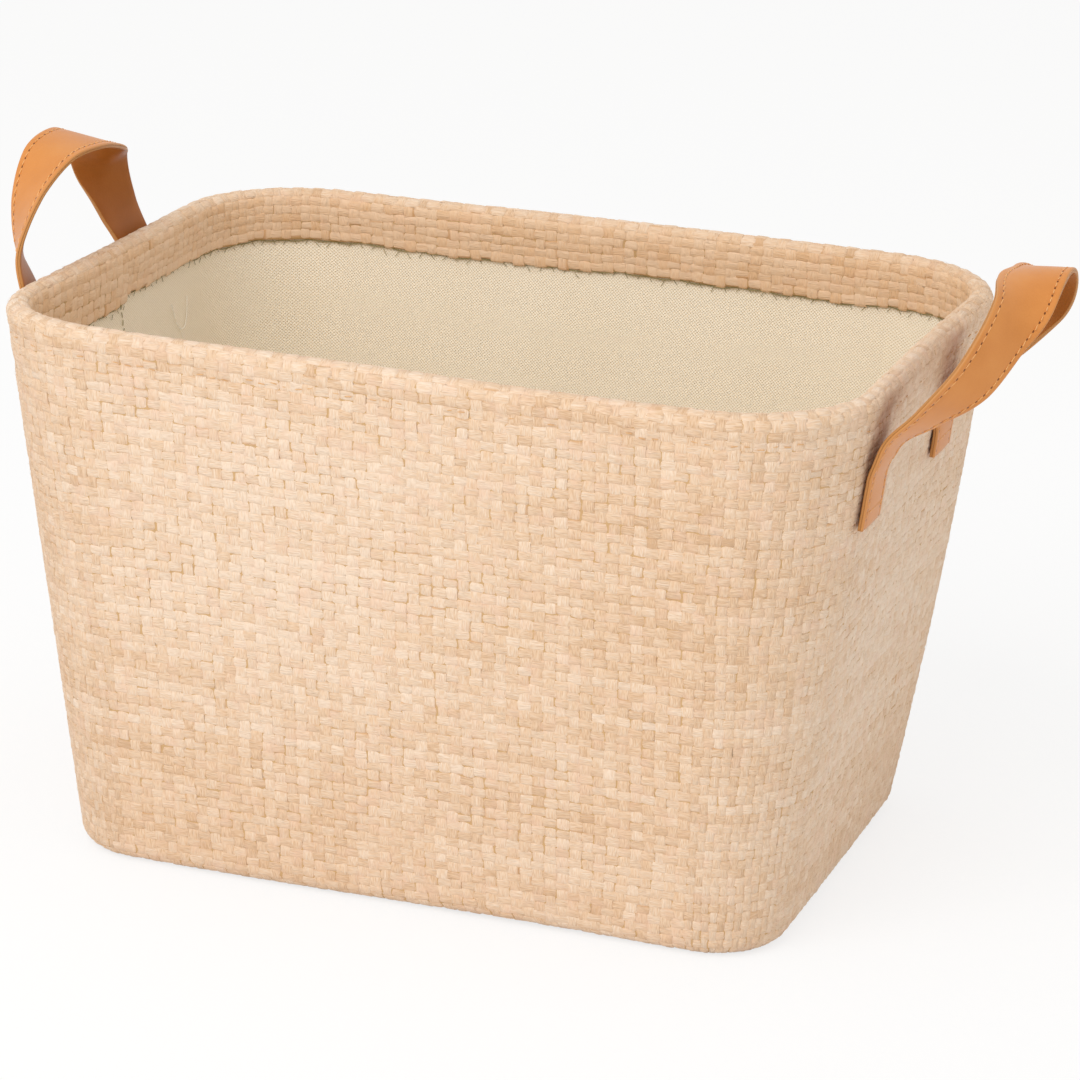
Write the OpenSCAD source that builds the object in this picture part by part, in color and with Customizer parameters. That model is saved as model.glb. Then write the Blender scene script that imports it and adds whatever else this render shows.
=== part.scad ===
// Fabric storage bin: a tapered, round-cornered tub of coarse woven cloth over a padded wall, with
// a wire in its rolled rim, a coated lining and a leather strap handle sewn to each short side.
// Millimetres. +Z is up, +X runs along the long side, -Y is the front. The origin is the middle of
// the underside.

/* [Overall] */
// Length over the rim, left to right
top_length = 381; // [300:1:480]
// Width over the rim, front to back
top_width = 279; // [220:1:360]
// Height from the floor to the top of the rim
height = 242; // [190:1:300]
// Length of the wall at its foot
base_length = 321; // [250:1:380]
// Width of the wall at its foot
base_width = 225; // [180:1:290]
// Outer corner radius at the rim
top_corner = 58; // [45:1:80]
// Outer corner radius at the foot
base_corner = 34; // [28:1:44]
// Radius of the soft edge where the wall turns under
foot_radius = 9; // [7:0.5:12]

/* [Layers] */
// Thickness of the woven cloth
cloth = 1.8; // [1.2:0.1:2.4]
// Thickness of the foam padding in the wall
padding = 2; // [1:0.1:3]
// Thickness of the coated lining
lining = 0.6; // [0.4:0.1:1]
// Thickness of the stiff board in the base
board = 2; // [1.4:0.1:3]
// Play between neighbouring layers
layer_gap = 0.1; // [0.05:0.05:0.2]

/* [Rim] */
// Radius of the rolled rim
roll_radius = 5.3; // [4.8:0.1:7]
// Diameter of the wire inside the roll
wire_diameter = 4; // [3:0.1:4.4]
// Depth of the hem turned down inside, from the top of the rim
hem_depth = 24.4; // [18:0.1:40]

/* [Threads] */
// Diameter of the thread that binds the raw edge of the hem
overlock_thread = 1.2; // [0.8:0.1:1.6]
// Spacing of the slanted ticks of the hem binding
overlock_pitch = 7; // [5:0.5:12]
// Length of one slanted tick
overlock_tick = 4; // [2:0.1:5]
// Thickness of the sewing thread
sewing_thread = 0.6; // [0.4:0.1:0.9]
// Length of one sewing stitch
stitch_length = 3; // [2:0.1:3.4]
// Spacing of the stitches along the straps
strap_stitch_pitch = 4; // [3.5:0.1:8]
// Spacing of the stitches in the base seam and the side seam
seam_stitch_pitch = 8; // [6:0.5:12]
// Place of the side seam on the left wall, from its middle towards the back
side_seam_shift = -4; // [-12:1:4]

/* [Handles] */
// Width of the strap
strap_width = 26; // [20:0.5:30]
// Thickness of one of the two leather layers of the strap
leather = 1.15; // [0.8:0.05:1.5]
// Distance between the middles of the two sewn ends of a strap
strap_spread = 111; // [90:1:130]
// How far the middle of a handle sits from the middle of its wall, towards the back
handle_shift = -18; // [-20:0.5:0]
// Drop from the top of the rim to the line where a strap leaves the wall
root_drop = 31; // [22:1:60]
// Length of a sewn end
tab_length = 26; // [20:1:35]
// Height of the seam across a sewn end, from its lower edge
tab_seam = 7; // [5:0.5:9]
// Rise of the loop from its roots to its crown
loop_rise = 83; // [65:1:100]
// How far each leg bows outwards
leg_bow = 9; // [7:0.5:16]
// How far the crown leans back towards the bin from the line of its legs
crown_back = 4; // [0:0.5:8]
// How far the right loop is tipped outwards from the line of the wall
right_tip = 26; // [0:1:60]
// How far the left loop is tipped outwards from the line of the wall
left_tip = 1; // [0:1:60]
// How far the outer edge of the right strap is lifted at the crown
right_lift = 45; // [0:1:60]
// How far the outer edge of the left strap is lifted at the crown
left_lift = 15; // [0:1:60]
// Clearance between a strap and the cloth behind it, and between its sewn end and its loop
strap_clearance = 0.3; // [0.2:0.05:0.6]
// Distance of the stitch rows from the edges of the strap
edge_row = 3; // [2:0.1:4]

/* [Hidden] */

cloth_colour = "#E6C8A2";
lining_colour = "#D8CBA8";
overlock_colour = "#5C5634";
seam_colour = "#E2D2B4";
strap_thread_colour = "#E09A50";
leather_colour = "#C07A3E";
backing_colour = "#9A5C2C";

corner_steps = 8;
roll_steps = 12;
foot_steps = 5;
loop_steps = 80;
// Roundness of the loop seen from its side of the bin: 2 is an ellipse, more is squarer
loop_squareness = 2.1;
// How late on a leg the strap turns flat, and how near the crown its outer edge is lifted: a
// higher number keeps either closer to the crown
turn_power = 1.6;
lift_power = 8;
// Half of the stretch of the loop that a direction along it is taken over
loop_reach = 0.005;
// Slant of the ticks of the hem binding
tick_slant = 35;

// Height of the middle of the rolled rim, and of its lower side
roll_height = height - roll_radius;
roll_bottom = roll_height - roll_radius;
hem_edge = height - hem_depth;
strap_root = height - root_drop;

// Insets of the layers, measured inwards from the outer face of the wall
padding_inset = cloth + layer_gap;
lining_inset = padding_inset + padding + layer_gap;
inner_face = lining_inset + lining;
hem_outer = inner_face + layer_gap;
hem_inner = hem_outer + cloth;

// How far a flat facet of a rounded corner lies inside the true curve
facet_depth = top_corner * (1 - cos(45 / corner_steps));

// The wall cloth turns under as far as the base seam, where its edge and the edge of the base
// cloth are both turned up to the top of the board
turned_under = 5;
seam_inset = foot_radius + turned_under;
base_inset = seam_inset + layer_gap;
board_inset = base_inset + cloth + sewing_thread + 2 * layer_gap;
board_top = cloth + layer_gap + board;
floor_top = board_top + layer_gap + lining;

// A strap is two layers of leather; it lies on the wall up to its root, where it bends
strap_thickness = 2 * leather + layer_gap;
backing_depth = leather + layer_gap;
wall_lean = atan((top_length - base_length) / 2 / (roll_height - foot_radius));
root_stand_off = strap_clearance + strap_thickness;
root_x = half_length(strap_root) + root_stand_off * cos(wall_lean);
root_z = strap_root - root_stand_off * sin(wall_lean);

// Half of each outline at height z, and its corner radius: all three grow evenly from the foot
function share_of_wall(z) = (z - foot_radius) / (roll_height - foot_radius);
function half_length(z) = (base_length + (top_length - base_length) * share_of_wall(z)) / 2;
function half_width(z) = (base_width + (top_width - base_width) * share_of_wall(z)) / 2;
function corner_at(z) = base_corner + (top_corner - base_corner) * share_of_wall(z);

// Rounded rectangle as [corner centre x, corner centre y, corner radius], for the wall at height z
// moved inwards by inset; below the foot and above the roll the wall grows no further
function rounded(z, inset) =
    let(zz = min(max(z, foot_radius), roll_height))
    [half_length(zz) - corner_at(zz), half_width(zz) - corner_at(zz), corner_at(zz) - inset];

function signs_of(q) = [(q == 0 || q == 3) ? 1 : -1, (q < 2) ? 1 : -1];

function outline(z, inset) =
    let(s = rounded(z, inset))
    [for (q = [0:3], i = [0:corner_steps])
        let(a = 90 * (q + i / corner_steps))
        [signs_of(q)[0] * s[0] + s[2] * cos(a), signs_of(q)[1] * s[1] + s[2] * sin(a), z]];

// Closed loft of a profile of [inset, z] points round the outline of the bin
module loft(profile) {
    rings = [for (p = profile) outline(p[1], p[0])];
    count = len(rings[0]);
    last = len(profile);
    points = [for (ring = rings, p = ring) p];
    faces = [for (k = [0:last - 1], i = [0:count - 1])
        let(m = (k + 1) % last, j = (i + 1) % count)
        [k * count + i, m * count + i, m * count + j, k * count + j]];
    polyhedron(points, faces, convexity = 6);
}

// Points of an arc in [inset, z]; angle 0 is outwards and 90 is up
function arc_points(inset, z, r, from, to, steps) =
    [for (i = [0:steps]) let(a = from + (to - from) * i / steps) [inset - r * cos(a), z + r * sin(a)]];

// Plate with the outline of the foot, moved inwards
module foot_plate(inset, bottom, thickness) {
    s = rounded(0, inset);
    translate([0, 0, bottom])
        linear_extrude(thickness) {
            square([2 * (s[0] + s[2]), 2 * s[1]], center = true);
            square([2 * s[0], 2 * (s[1] + s[2])], center = true);
            for (q = [0:3])
                translate([signs_of(q)[0] * s[0], signs_of(q)[1] * s[1]])
                    circle(s[2], $fn = 96);
        }
}

// Round bar bent to the outline of the wall at height z, moved inwards
module outline_bar(z, inset, bar_radius) {
    s = rounded(z, inset);
    for (side = [-1, 1]) {
        translate([0, side * (s[1] + s[2]), z])
            rotate([0, 90, 0])
                cylinder(h = 2 * s[0], r = bar_radius, center = true, $fn = 24);
        translate([side * (s[0] + s[2]), 0, z])
            rotate([90, 0, 0])
                cylinder(h = 2 * s[1], r = bar_radius, center = true, $fn = 24);
    }
    for (q = [0:3])
        translate([signs_of(q)[0] * s[0], signs_of(q)[1] * s[1], z])
            rotate([0, 0, 90 * q])
                rotate_extrude(angle = 90, $fn = 96)
                    translate([s[2], 0])
                        circle(bar_radius, $fn = 24);
}

// Place at distance t along a quarter of a rounded rectangle, from the middle of one side to the
// middle of the next: x, y and the direction outwards
function quarter_walk(t, x, y, r) =
    let(arc = PI * r / 2)
    t < y ? [x + r, t, 0]
    : t < y + arc ? let(a = 90 * (t - y) / arc) [x + r * cos(a), y + r * sin(a), a]
    : [x - (t - y - arc), y + r, 90];

// Repeats its child round the outline of the wall at height z, moved inwards, with the child's own
// X pointing outwards
module round_the_outline(z, inset, pitch) {
    s = rounded(z, inset);
    quarter = s[0] + s[1] + PI * s[2] / 2;
    count = round(quarter / pitch);
    for (q = [0:3], i = [0:count - 1]) {
        odd = q % 2;
        p = quarter_walk((i + 0.5) * quarter / count, s[odd], s[1 - odd], s[2]);
        rotate([0, 0, 90 * q])
            translate([p[0], p[1], 0])
                rotate([0, 0, p[2]])
                    children();
    }
}

// Woven band of the wall: up the wall, over the wire and down inside as the hem
module outer_cloth() {
    hollow = roll_radius - cloth;
    profile = concat(
        [[seam_inset, board_top], [seam_inset, 0]],
        arc_points(foot_radius, foot_radius, foot_radius, -90, 0, foot_steps),
        arc_points(roll_radius, roll_height, roll_radius, 0, 180, roll_steps),
        [[hem_inner, roll_bottom], [hem_inner, hem_edge], [hem_outer, hem_edge], [hem_outer, roll_bottom]],
        arc_points(roll_radius, roll_height, hollow, 180, 0, roll_steps),
        arc_points(foot_radius, foot_radius, foot_radius - cloth, 0, -90, foot_steps),
        [[seam_inset - cloth, cloth], [seam_inset - cloth, board_top]]);
    color(cloth_colour)
        loft(profile);
}

// Woven panel of the underside, a shallow tray with its edge turned up
module base_cloth() {
    color(cloth_colour)
        difference() {
            foot_plate(base_inset, 0, board_top);
            foot_plate(base_inset + cloth, cloth, board_top);
        }
}

// Wire ring that the cloth hangs on: it lies at the top of the hollow of the roll
module rim_wire() {
    lift = roll_radius - cloth - wire_diameter / 2 - layer_gap;
    color("silver")
        translate([0, 0, lift])
            outline_bar(roll_height, roll_radius, wire_diameter / 2);
}

// Layer of the wall between two insets; the wall leans only above the foot
module wall_layer(inset, thickness, bottom) {
    up = bottom < foot_radius ? [bottom, foot_radius, roll_bottom] : [bottom, roll_bottom];
    down = [for (i = [1:len(up)]) up[len(up) - i]];
    loft(concat(
        [for (z = up) [inset, z]],
        [for (z = down) [inset + thickness, z]]));
}

module wall_padding() {
    color("white")
        wall_layer(padding_inset, padding, foot_radius);
}

module wall_lining() {
    color(lining_colour)
        wall_layer(lining_inset, lining, floor_top + layer_gap);
}

module base_board() {
    color("tan")
        foot_plate(board_inset, cloth + layer_gap, board);
}

module base_lining() {
    color(lining_colour)
        foot_plate(lining_inset + lining / 2, board_top + layer_gap, lining);
}

// Thread that binds the raw edge of the hem: a cord along the edge, and slanted ticks below it
module hem_overlock_thread() {
    cord = overlock_thread / 2;
    cord_height = hem_edge - cord - layer_gap;
    tick_height = cord_height - cord - overlock_tick / 2;
    tick_gap = 2 * layer_gap + facet_depth;
    color(overlock_colour) {
        loft(arc_points((hem_outer + hem_inner) / 2, cord_height, cord, 0, 315, 7));
        translate([0, 0, tick_height])
            round_the_outline(tick_height, inner_face + tick_gap + cord / 2, overlock_pitch)
                rotate([0, wall_lean, 0])
                    rotate([tick_slant, 0, 0])
                        cube([cord, cord, overlock_tick], center = true);
    }
}

// Stitches through the turned-up edges of the wall cloth and the base cloth
module base_seam_stitches() {
    row_inset = base_inset + cloth + layer_gap + sewing_thread / 2;
    color(seam_colour)
        translate([0, 0, (cloth + board_top) / 2])
            round_the_outline(0, row_inset, seam_stitch_pitch)
                cube([sewing_thread, stitch_length, sewing_thread], center = true);
}

// Stitches of the seam that closes the wall, as they show on the lining
module side_seam_stitches() {
    first = floor_top + stitch_length;
    rows = floor((hem_edge - overlock_thread - overlock_tick - stitch_length - first) / seam_stitch_pitch);
    color(overlock_colour)
        for (i = [0:rows]) {
            z = first + i * seam_stitch_pitch;
            x = half_length(z) - inner_face - layer_gap - sewing_thread;
            translate([-x, side_seam_shift, z])
                rotate([0, -wall_lean, 0])
                    cube([sewing_thread, sewing_thread, stitch_length], center = true);
        }
}

// Draws its children on one side of the bin with the root of the strap at their origin, their X
// pointing away from the wall and their Z up the wall, tipped outwards by tip
module at_root(side, tip) {
    mirror([side < 0 ? 1 : 0, 0, 0])
        translate([root_x, handle_shift, root_z])
            rotate([0, wall_lean + tip, 0])
                children();
}

// One layer of a sewn end: back is -1 for the front end and 1 for the back end; depth is how far
// the layer's outer face lies behind the outer face of the strap
module tab_layer(side, back, depth) {
    at_root(side, 0)
        translate([-depth - leather, back * strap_spread / 2 - strap_width / 2, -tab_length])
            cube([leather, strap_width, tab_length - strap_clearance]);
}

// Stitches of both sewn ends: a row along each edge and one across
module tab_stitches(side) {
    face = layer_gap + sewing_thread / 2;
    run = tab_length - strap_clearance - tab_seam;
    count = floor(run / strap_stitch_pitch);
    across = floor((strap_width - 2 * edge_row) / strap_stitch_pitch);
    color(strap_thread_colour)
        at_root(side, 0)
            for (back = [-1, 1])
                translate([face, back * strap_spread / 2, tab_seam - tab_length]) {
                    for (edge = [-1, 1], i = [1:count])
                        translate([0, edge * (strap_width / 2 - edge_row), (i - 0.5) * run / count])
                            cube([sewing_thread, sewing_thread, stitch_length], center = true);
                    for (i = [1:across])
                        translate([0, ((i - 0.5) / across - 0.5) * (strap_width - 2 * edge_row), 0])
                            cube([sewing_thread, stitch_length, sewing_thread], center = true);
                }
}

// Middle line of the loop, from its front root (share 0) over the crown (0.5) to its back root (1)
function eased(h) = h * h * (3 - 2 * h);
function swing(share) = share < 0.5 ? 90 * eased(2 * share) : 180 - 90 * eased(2 - 2 * share);
function rounded_power(v) = sign(v) * pow(abs(v), 2 / loop_squareness);
function loop_point(share) =
    let(a = swing(share))
    [leg_bow * pow(sin(2 * a), 2) - crown_back * pow(sin(a), 2),
     -strap_spread / 2 * rounded_power(cos(a)),
     loop_rise * rounded_power(sin(a))];

// Directions at a point of the loop: out of its outer face, across the strap, and along it. The
// strap lies flat to the wall at its roots and turns a quarter on each leg, so that its outer face
// looks up at the crown, where its outer edge is also lifted
function unit(v) = v / norm(v);
function loop_along(share) =
    share <= 0 ? [0, 0, 1]
    : share >= 1 ? [0, 0, -1]
    : unit(loop_point(share + loop_reach) - loop_point(share - loop_reach));
function loop_frame(share, lift) =
    let(turn = 90 * pow(sin(swing(share)), turn_power))
    let(rise = lift * pow(sin(swing(share)), lift_power))
    let(flat = [sin(turn) * cos(rise), (share < 0.5 ? 1 : -1) * cos(turn), sin(turn) * sin(rise)])
    let(t = loop_along(share), w = unit(flat - (flat * t) * t))
    [cross(w, t), w, t];

// Distance along the loop against share, for even spacing
loop_samples = [for (i = [0:loop_steps]) i / loop_steps];
function loop_lengths(i) =
    i == 0 ? 0
    : loop_lengths(i - 1) + norm(loop_point(loop_samples[i]) - loop_point(loop_samples[i - 1]));
loop_table = [for (i = [0:loop_steps]) [loop_lengths(i), loop_samples[i]]];
loop_length = loop_table[loop_steps][0];

// One layer of the loop. Its triangles cross both broad faces the same way, so that the two layers
// stay apart where the strap turns. Depth is how far its outer face lies behind the outer face of
// the strap, which the middle line runs along
module loop_layer(side, tip, lift, depth) {
    rings = [for (s = loop_samples)
        let(c = loop_point(s), f = loop_frame(s, lift))
        [for (k = [[0, -1], [0, 1], [1, 1], [1, -1]])
            c - f[0] * (depth + k[0] * leather) + f[1] * k[1] * strap_width / 2]];
    points = [for (ring = rings, p = ring) p];
    last = len(rings) - 1;
    faces = concat(
        [[0, 1, 2], [0, 2, 3]],
        [for (k = [0:last - 1], i = [0:3], half = [0, 1])
            let(a = 4 * k + i, b = 4 * k + (i + 1) % 4)
            i == 2
                ? (half == 0 ? [a, a + 4, b] : [a + 4, b + 4, b])
                : (half == 0 ? [a, a + 4, b + 4] : [a, b + 4, b])],
        [[4 * last + 2, 4 * last + 1, 4 * last], [4 * last + 3, 4 * last + 2, 4 * last]]);
    at_root(side, tip)
        polyhedron(points, faces, convexity = 6);
}

// Place on a row of stitches that runs a distance across from the middle line of the loop
function row_point(share, lift, across) =
    let(f = loop_frame(share, lift))
    loop_point(share) + f[0] * (4 * layer_gap + sewing_thread / 2) + f[1] * across;

// Two rows of stitches along the outer face of the loop, each stitch in line with its row
module loop_stitches(side, tip, lift) {
    count = floor(loop_length / strap_stitch_pitch);
    color(strap_thread_colour)
        at_root(side, tip)
            for (i = [1:count - 1], edge = [-1, 1]) {
                s = lookup((i + 0.5) * loop_length / (count + 1), loop_table);
                across = edge * (strap_width / 2 - edge_row);
                p = row_point(s, lift, across);
                t = unit(row_point(s + loop_reach, lift, across) - row_point(s - loop_reach, lift, across));
                flat = loop_frame(s, lift)[1];
                w = unit(flat - (flat * t) * t);
                n = cross(w, t);
                multmatrix([
                    [n[0], w[0], t[0], p[0]],
                    [n[1], w[1], t[1], p[1]],
                    [n[2], w[2], t[2], p[2]]])
                    cube([sewing_thread, sewing_thread, stitch_length], center = true);
            }
}

module right_front_tab() { color(leather_colour) tab_layer(1, -1, 0); }
module right_front_tab_backing() { color(backing_colour) tab_layer(1, -1, backing_depth); }
module right_back_tab() { color(leather_colour) tab_layer(1, 1, 0); }
module right_back_tab_backing() { color(backing_colour) tab_layer(1, 1, backing_depth); }
module right_tab_stitches() { tab_stitches(1); }
module right_loop() { color(leather_colour) loop_layer(1, right_tip, right_lift, 0); }
module right_loop_backing() { color(backing_colour) loop_layer(1, right_tip, right_lift, backing_depth); }
module right_loop_stitches() { loop_stitches(1, right_tip, right_lift); }

module left_front_tab() { color(leather_colour) tab_layer(-1, -1, 0); }
module left_front_tab_backing() { color(backing_colour) tab_layer(-1, -1, backing_depth); }
module left_back_tab() { color(leather_colour) tab_layer(-1, 1, 0); }
module left_back_tab_backing() { color(backing_colour) tab_layer(-1, 1, backing_depth); }
module left_tab_stitches() { tab_stitches(-1); }
module left_loop() { color(leather_colour) loop_layer(-1, left_tip, left_lift, 0); }
module left_loop_backing() { color(backing_colour) loop_layer(-1, left_tip, left_lift, backing_depth); }
module left_loop_stitches() { loop_stitches(-1, left_tip, left_lift); }

outer_cloth();
base_cloth();
rim_wire();
wall_padding();
wall_lining();
base_board();
base_lining();
hem_overlock_thread();
base_seam_stitches();
side_seam_stitches();
right_front_tab();
right_front_tab_backing();
right_back_tab();
right_back_tab_backing();
right_tab_stitches();
right_loop();
right_loop_backing();
right_loop_stitches();
left_front_tab();
left_front_tab_backing();
left_back_tab();
left_back_tab_backing();
left_tab_stitches();
left_loop();
left_loop_backing();
left_loop_stitches();
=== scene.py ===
# %% [markdown]
# # A woven storage bin with leather handles
# The bin is a tapered, round-cornered tub of coarse paper-yarn cloth. A wire stiffens its rolled rim,
# a coated lining covers its inside, and a leather strap is sewn to each short side. The packed
# construction model gives the frame and the board, and the fixed pieces that are made here ride on the bin.

# %% The frame
import math

import bpy
import numpy as np
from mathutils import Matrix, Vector


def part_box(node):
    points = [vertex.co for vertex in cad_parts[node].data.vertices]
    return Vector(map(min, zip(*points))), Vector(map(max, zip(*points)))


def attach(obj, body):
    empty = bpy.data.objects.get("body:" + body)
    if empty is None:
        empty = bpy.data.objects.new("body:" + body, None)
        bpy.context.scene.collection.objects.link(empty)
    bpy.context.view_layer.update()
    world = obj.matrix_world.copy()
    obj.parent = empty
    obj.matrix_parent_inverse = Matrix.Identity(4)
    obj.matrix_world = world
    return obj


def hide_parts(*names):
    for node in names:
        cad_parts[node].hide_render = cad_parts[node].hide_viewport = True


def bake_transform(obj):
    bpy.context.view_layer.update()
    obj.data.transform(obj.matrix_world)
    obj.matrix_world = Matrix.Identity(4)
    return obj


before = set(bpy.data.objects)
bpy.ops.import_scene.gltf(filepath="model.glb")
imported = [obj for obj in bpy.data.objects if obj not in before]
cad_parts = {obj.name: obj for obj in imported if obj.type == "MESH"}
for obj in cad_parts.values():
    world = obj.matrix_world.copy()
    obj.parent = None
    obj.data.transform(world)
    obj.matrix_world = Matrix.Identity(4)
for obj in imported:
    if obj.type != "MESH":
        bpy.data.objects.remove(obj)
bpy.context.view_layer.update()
MM = 0.001

# %% [markdown]
# ## Sizes
# The cloth, lining and straps all follow one outline: a rounded rectangle that grows evenly from the
# foot to the rim. Its sides and height are read from the frame. Only what a box can't tell, such as a
# corner radius or the thickness of a layer, is named here. Working sizes are in millimetres, and a
# mesh is turned into metres when it is made.

# %% Sizes of the bin
cloth_high = np.array(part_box("outer_cloth")[1]) / MM
board_high = np.array(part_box("base_board")[1]) / MM
HEIGHT = cloth_high[2]
RIM_HALF = cloth_high[:2]
RIM_CORNER = 58.0
FOOT_CORNER = 34.0
FOOT_RADIUS = 9.0
ROLL_RADIUS = 5.3
CLOTH = 1.8
PADDING_INSET = 1.9
PADDING = 2.0
LINING_INSET = 4.0
LINING = 0.6
HEM_INSET = 5.6
SEAM_INSET = 14.0
BOARD_INSET = 16.7
HEM_DEPTH = 24.4
FOOT_HALF = board_high[:2] + BOARD_INSET
ROLL_HEIGHT = HEIGHT - ROLL_RADIUS
HEM_EDGE = HEIGHT - HEM_DEPTH
print("rim", RIM_HALF * 2, "foot", FOOT_HALF * 2, "height", HEIGHT)


# %% [markdown]
# ## Helpers
# Nodes come up all the time: in materials, in the world and in Geometry Nodes. One helper adds a node and
# fills its inputs, each with a plain value or with another node's output. The rest are short forms for a
# Math node, a new object, a colour and a material with its constants.

# %% Node and object helpers
WHITE = (1, 1, 1, 1)


def node(tree, kind, inputs=None, **settings):
    """Adds a node; each input is given a plain value, or is linked to another node's output."""
    made = tree.nodes.new(kind)
    for key, value in settings.items():
        setattr(made, key, value)
    for label, value in (inputs or {}).items():
        if isinstance(value, bpy.types.NodeSocket):
            tree.links.new(value, made.inputs[label])
        else:
            made.inputs[label].default_value = value
    return made


def maths(operation, *values):
    """A Math node, in the same tree as its first input."""
    return node(values[0].id_data, "ShaderNodeMath", dict(enumerate(values)), operation=operation).outputs[0]


def new_object(name, data):
    made = bpy.data.objects.new(name, data)
    bpy.context.collection.objects.link(made)
    return made


def new_material(name, constants):
    material = bpy.data.materials.new(name)
    material.use_nodes = True
    shader = material.node_tree.nodes["Principled BSDF"]
    for label, value in constants.items():
        shader.inputs[label].default_value = value
    return material, material.node_tree, shader


def rgb(code):
    """A colour written as six hexadecimal digits, as linear light."""
    parts = [int(code[i:i + 2], 16) / 255 for i in (0, 2, 4)]
    return [p / 12.92 if p < 0.04045 else ((p + 0.055) / 1.055) ** 2.4 for p in parts] + [1.0]


print("helpers ready; white is", rgb("FFFFFF"))

# %% [markdown]
# ## Camera and light
# The camera is placed as on a tripod, by its turn and height round the bin, with a long lens. The light
# is plain and soft: a pale world and one large panel at the upper left, so that the long front is bright
# and the right end falls a little darker.

# %% Camera
def place_camera(azimuth, elevation, distance, aim, roll, lens):
    a, e = math.radians(azimuth), math.radians(elevation)
    back = Vector((math.sin(a) * math.cos(e), -math.cos(a) * math.cos(e), math.sin(e)))
    camera = new_object("camera", bpy.data.cameras.new("camera"))
    camera.location = Vector(aim) + back * distance
    camera.rotation_euler = back.to_track_quat("Z", "Y").to_euler()
    camera.rotation_euler.rotate_axis("Z", math.radians(roll))
    camera.data.lens = lens
    camera.data.sensor_width = 36
    bpy.context.scene.camera = camera
    return camera


camera = place_camera(
    azimuth=19.706, elevation=18.147, distance=1.8289, aim=(0.0175, 0, 0.1320), roll=1.711, lens=140.61)
print("camera at", [round(v, 3) for v in camera.location])


# %% Light and floor
PANEL_AIM = Vector((0, 0, 0.12))
FLOOR_HALF = 6


def panel(name, place, size, watts):
    lamp = new_object(name, bpy.data.lights.new(name, "AREA"))
    lamp.data.energy = watts
    lamp.data.size = size
    lamp.location = place
    lamp.rotation_euler = (Vector(place) - PANEL_AIM).to_track_quat("Z", "Y").to_euler()


def show_white(tree, shader, white, output, share):
    """Camera, mirror and glass rays see a share of plain white; light still comes from the shader."""
    rays = node(tree, "ShaderNodeLightPath").outputs
    seen = maths("MAXIMUM", rays["Is Camera Ray"], rays["Is Glossy Ray"])
    seen = maths("MULTIPLY", maths("MAXIMUM", seen, rays["Is Transmission Ray"]), share)
    mix = node(tree, "ShaderNodeMixShader", {0: seen, 1: shader.outputs[0], 2: white.outputs[0]})
    tree.links.new(mix.outputs[0], tree.nodes[output].inputs["Surface"])


scene = bpy.context.scene
scene.view_settings.view_transform = "Standard"
scene.world = bpy.data.worlds.new("studio")
scene.world.use_nodes = True
studio = scene.world.node_tree
sky = studio.nodes["Background"]
sky.inputs["Color"].default_value = (1.0, 0.99, 0.97, 1)
sky.inputs["Strength"].default_value = 0.8
white = node(studio, "ShaderNodeBackground", {"Color": WHITE, "Strength": 1.0})
show_white(studio, sky, white, "World Output", share=1.0)
panel("key_panel", (-0.4, -1.75, 1.9), size=1.6, watts=26)

floor = new_object("floor", bpy.data.meshes.new("floor"))
corners = [(FLOOR_HALF * a, FLOOR_HALF * b, 0) for a, b in ((-1, -1), (1, -1), (1, 1), (-1, 1))]
floor.data.from_pydata(corners, [], [(0, 1, 2, 3)])
paper, tree, matt = new_material(
    "floor_paper", {"Base Color": (0.94, 0.94, 0.94, 1), "Roughness": 0.9, "Specular IOR Level": 0.0})
show_white(tree, matt, node(tree, "ShaderNodeEmission", {"Color": WHITE}), "Material Output", share=0.75)
floor.data.materials.append(paper)
print("world, one panel and the floor")

# %% [markdown]
# ## Shared finish effects
# Three effects come back in several materials, so each is a node group: a mottle that drifts over a
# surface, the streaks of fibres along a yarn or thread, and a fine grain for leather, board and coated
# cloth. A group only puts out values; the shader stays in its material.

# %% Mottle, streaks and grain
FLOAT, VECTOR = "NodeSocketFloat", "NodeSocketVector"


def new_group(name, inputs, outputs):
    group = bpy.data.node_groups.new(name, "ShaderNodeTree")
    for label, kind, value in inputs:
        made = group.interface.new_socket(label, in_out="INPUT", socket_type=kind)
        if value is not None:
            made.default_value = value
    for label in outputs:
        group.interface.new_socket(label, in_out="OUTPUT", socket_type=FLOAT)
    return group, node(group, "NodeGroupInput").outputs, node(group, "NodeGroupOutput").inputs


mottle, given, result = new_group(
    "mottle", [("Vector", VECTOR, None), ("Size", FLOAT, 40.0), ("Amount", FLOAT, 0.1)], ["Value"])
cloud = node(mottle, "ShaderNodeTexNoise", {"Vector": given["Vector"], "Scale": given["Size"], "Detail": 3})
drift = maths("MULTIPLY", maths("SUBTRACT", cloud.outputs[0], 0.5), given["Amount"])
mottle.links.new(drift, result["Value"])

streaks, given, result = new_group(
    "fibre_streaks",
    [("Along and across", VECTOR, None), ("Yarn", FLOAT, 0.0), ("Fibres", FLOAT, 7.0)], ["Value", "Height"])
parts = node(streaks, "ShaderNodeSeparateXYZ", {0: given["Along and across"]}).outputs
place = node(streaks, "ShaderNodeCombineXYZ", {
    0: parts[0],
    1: maths("MULTIPLY", parts[1], given["Fibres"]),
    2: maths("MULTIPLY", given["Yarn"], 61.0)})
fibre = node(streaks, "ShaderNodeTexNoise", {"Vector": place.outputs[0], "Scale": 1.6, "Detail": 2})
for label in ("Value", "Height"):
    streaks.links.new(fibre.outputs[0], result[label])

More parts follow.
